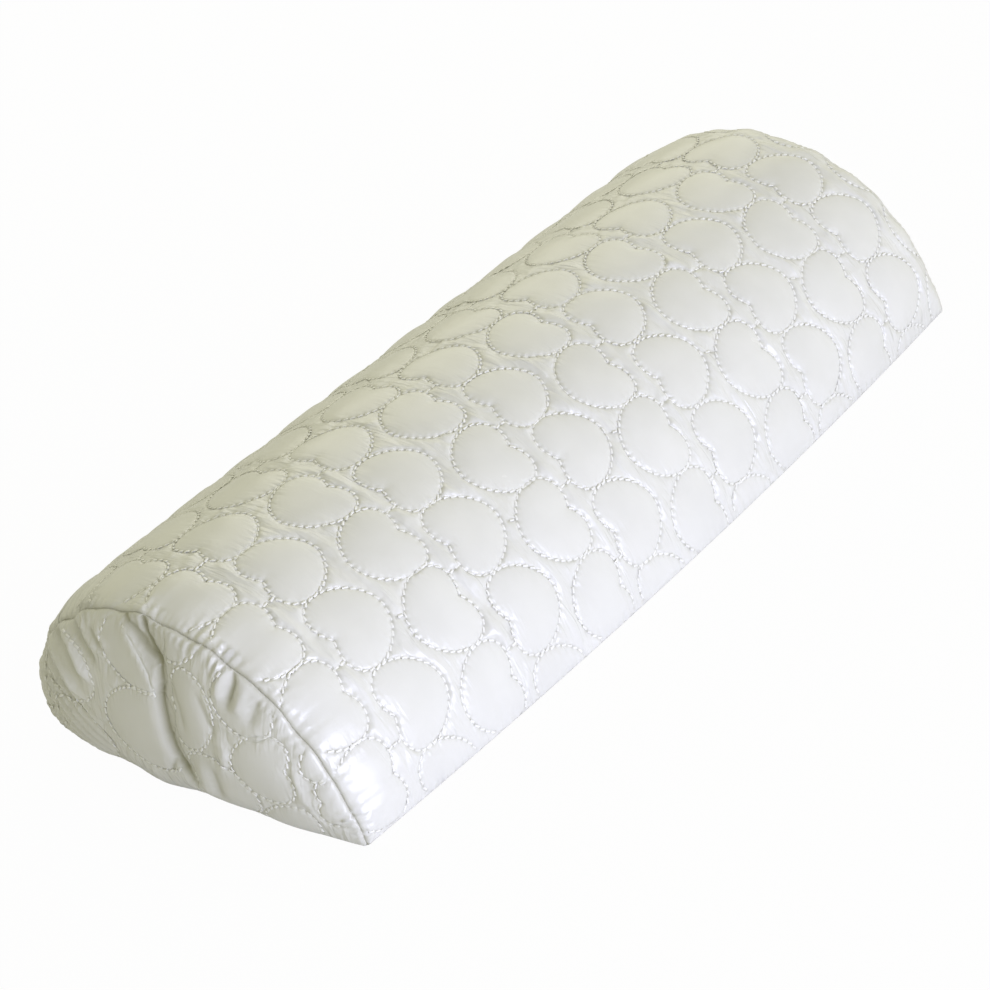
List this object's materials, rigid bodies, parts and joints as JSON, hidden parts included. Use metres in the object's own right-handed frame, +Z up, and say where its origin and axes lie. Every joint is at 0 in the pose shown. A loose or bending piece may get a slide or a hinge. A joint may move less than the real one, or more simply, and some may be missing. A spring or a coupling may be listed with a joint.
{
  "type": "manicure hand rest",
  "caption": "Half-round padded hand rest: a foam core in a sewn cover with a quilted arched top, two domed quilted ends and a flat base.",
  "frame": {"origin": "centre of the bounding box at the height of the table", "axes": "+X along the cushion, +Y across it, +Z up; the near end in the picture is at -X"},
  "size_m": [0.3249, 0.1386, 0.0604],
  "materials": {
    "foam": "open-cell foam, matt, hidden inside the cover",
    "base_cloth": "plain ivory lining cloth",
    "quilted_cloth": "ivory satin, padded and stitched through in hearts"
  },
  "bodies": {
    "root": {"foam_core": "foam", "base_panel": "base_cloth", "top_panel": "quilted_cloth", "near_end_panel": "quilted_cloth", "far_end_panel": "quilted_cloth"}
  },
  "joints": []
}
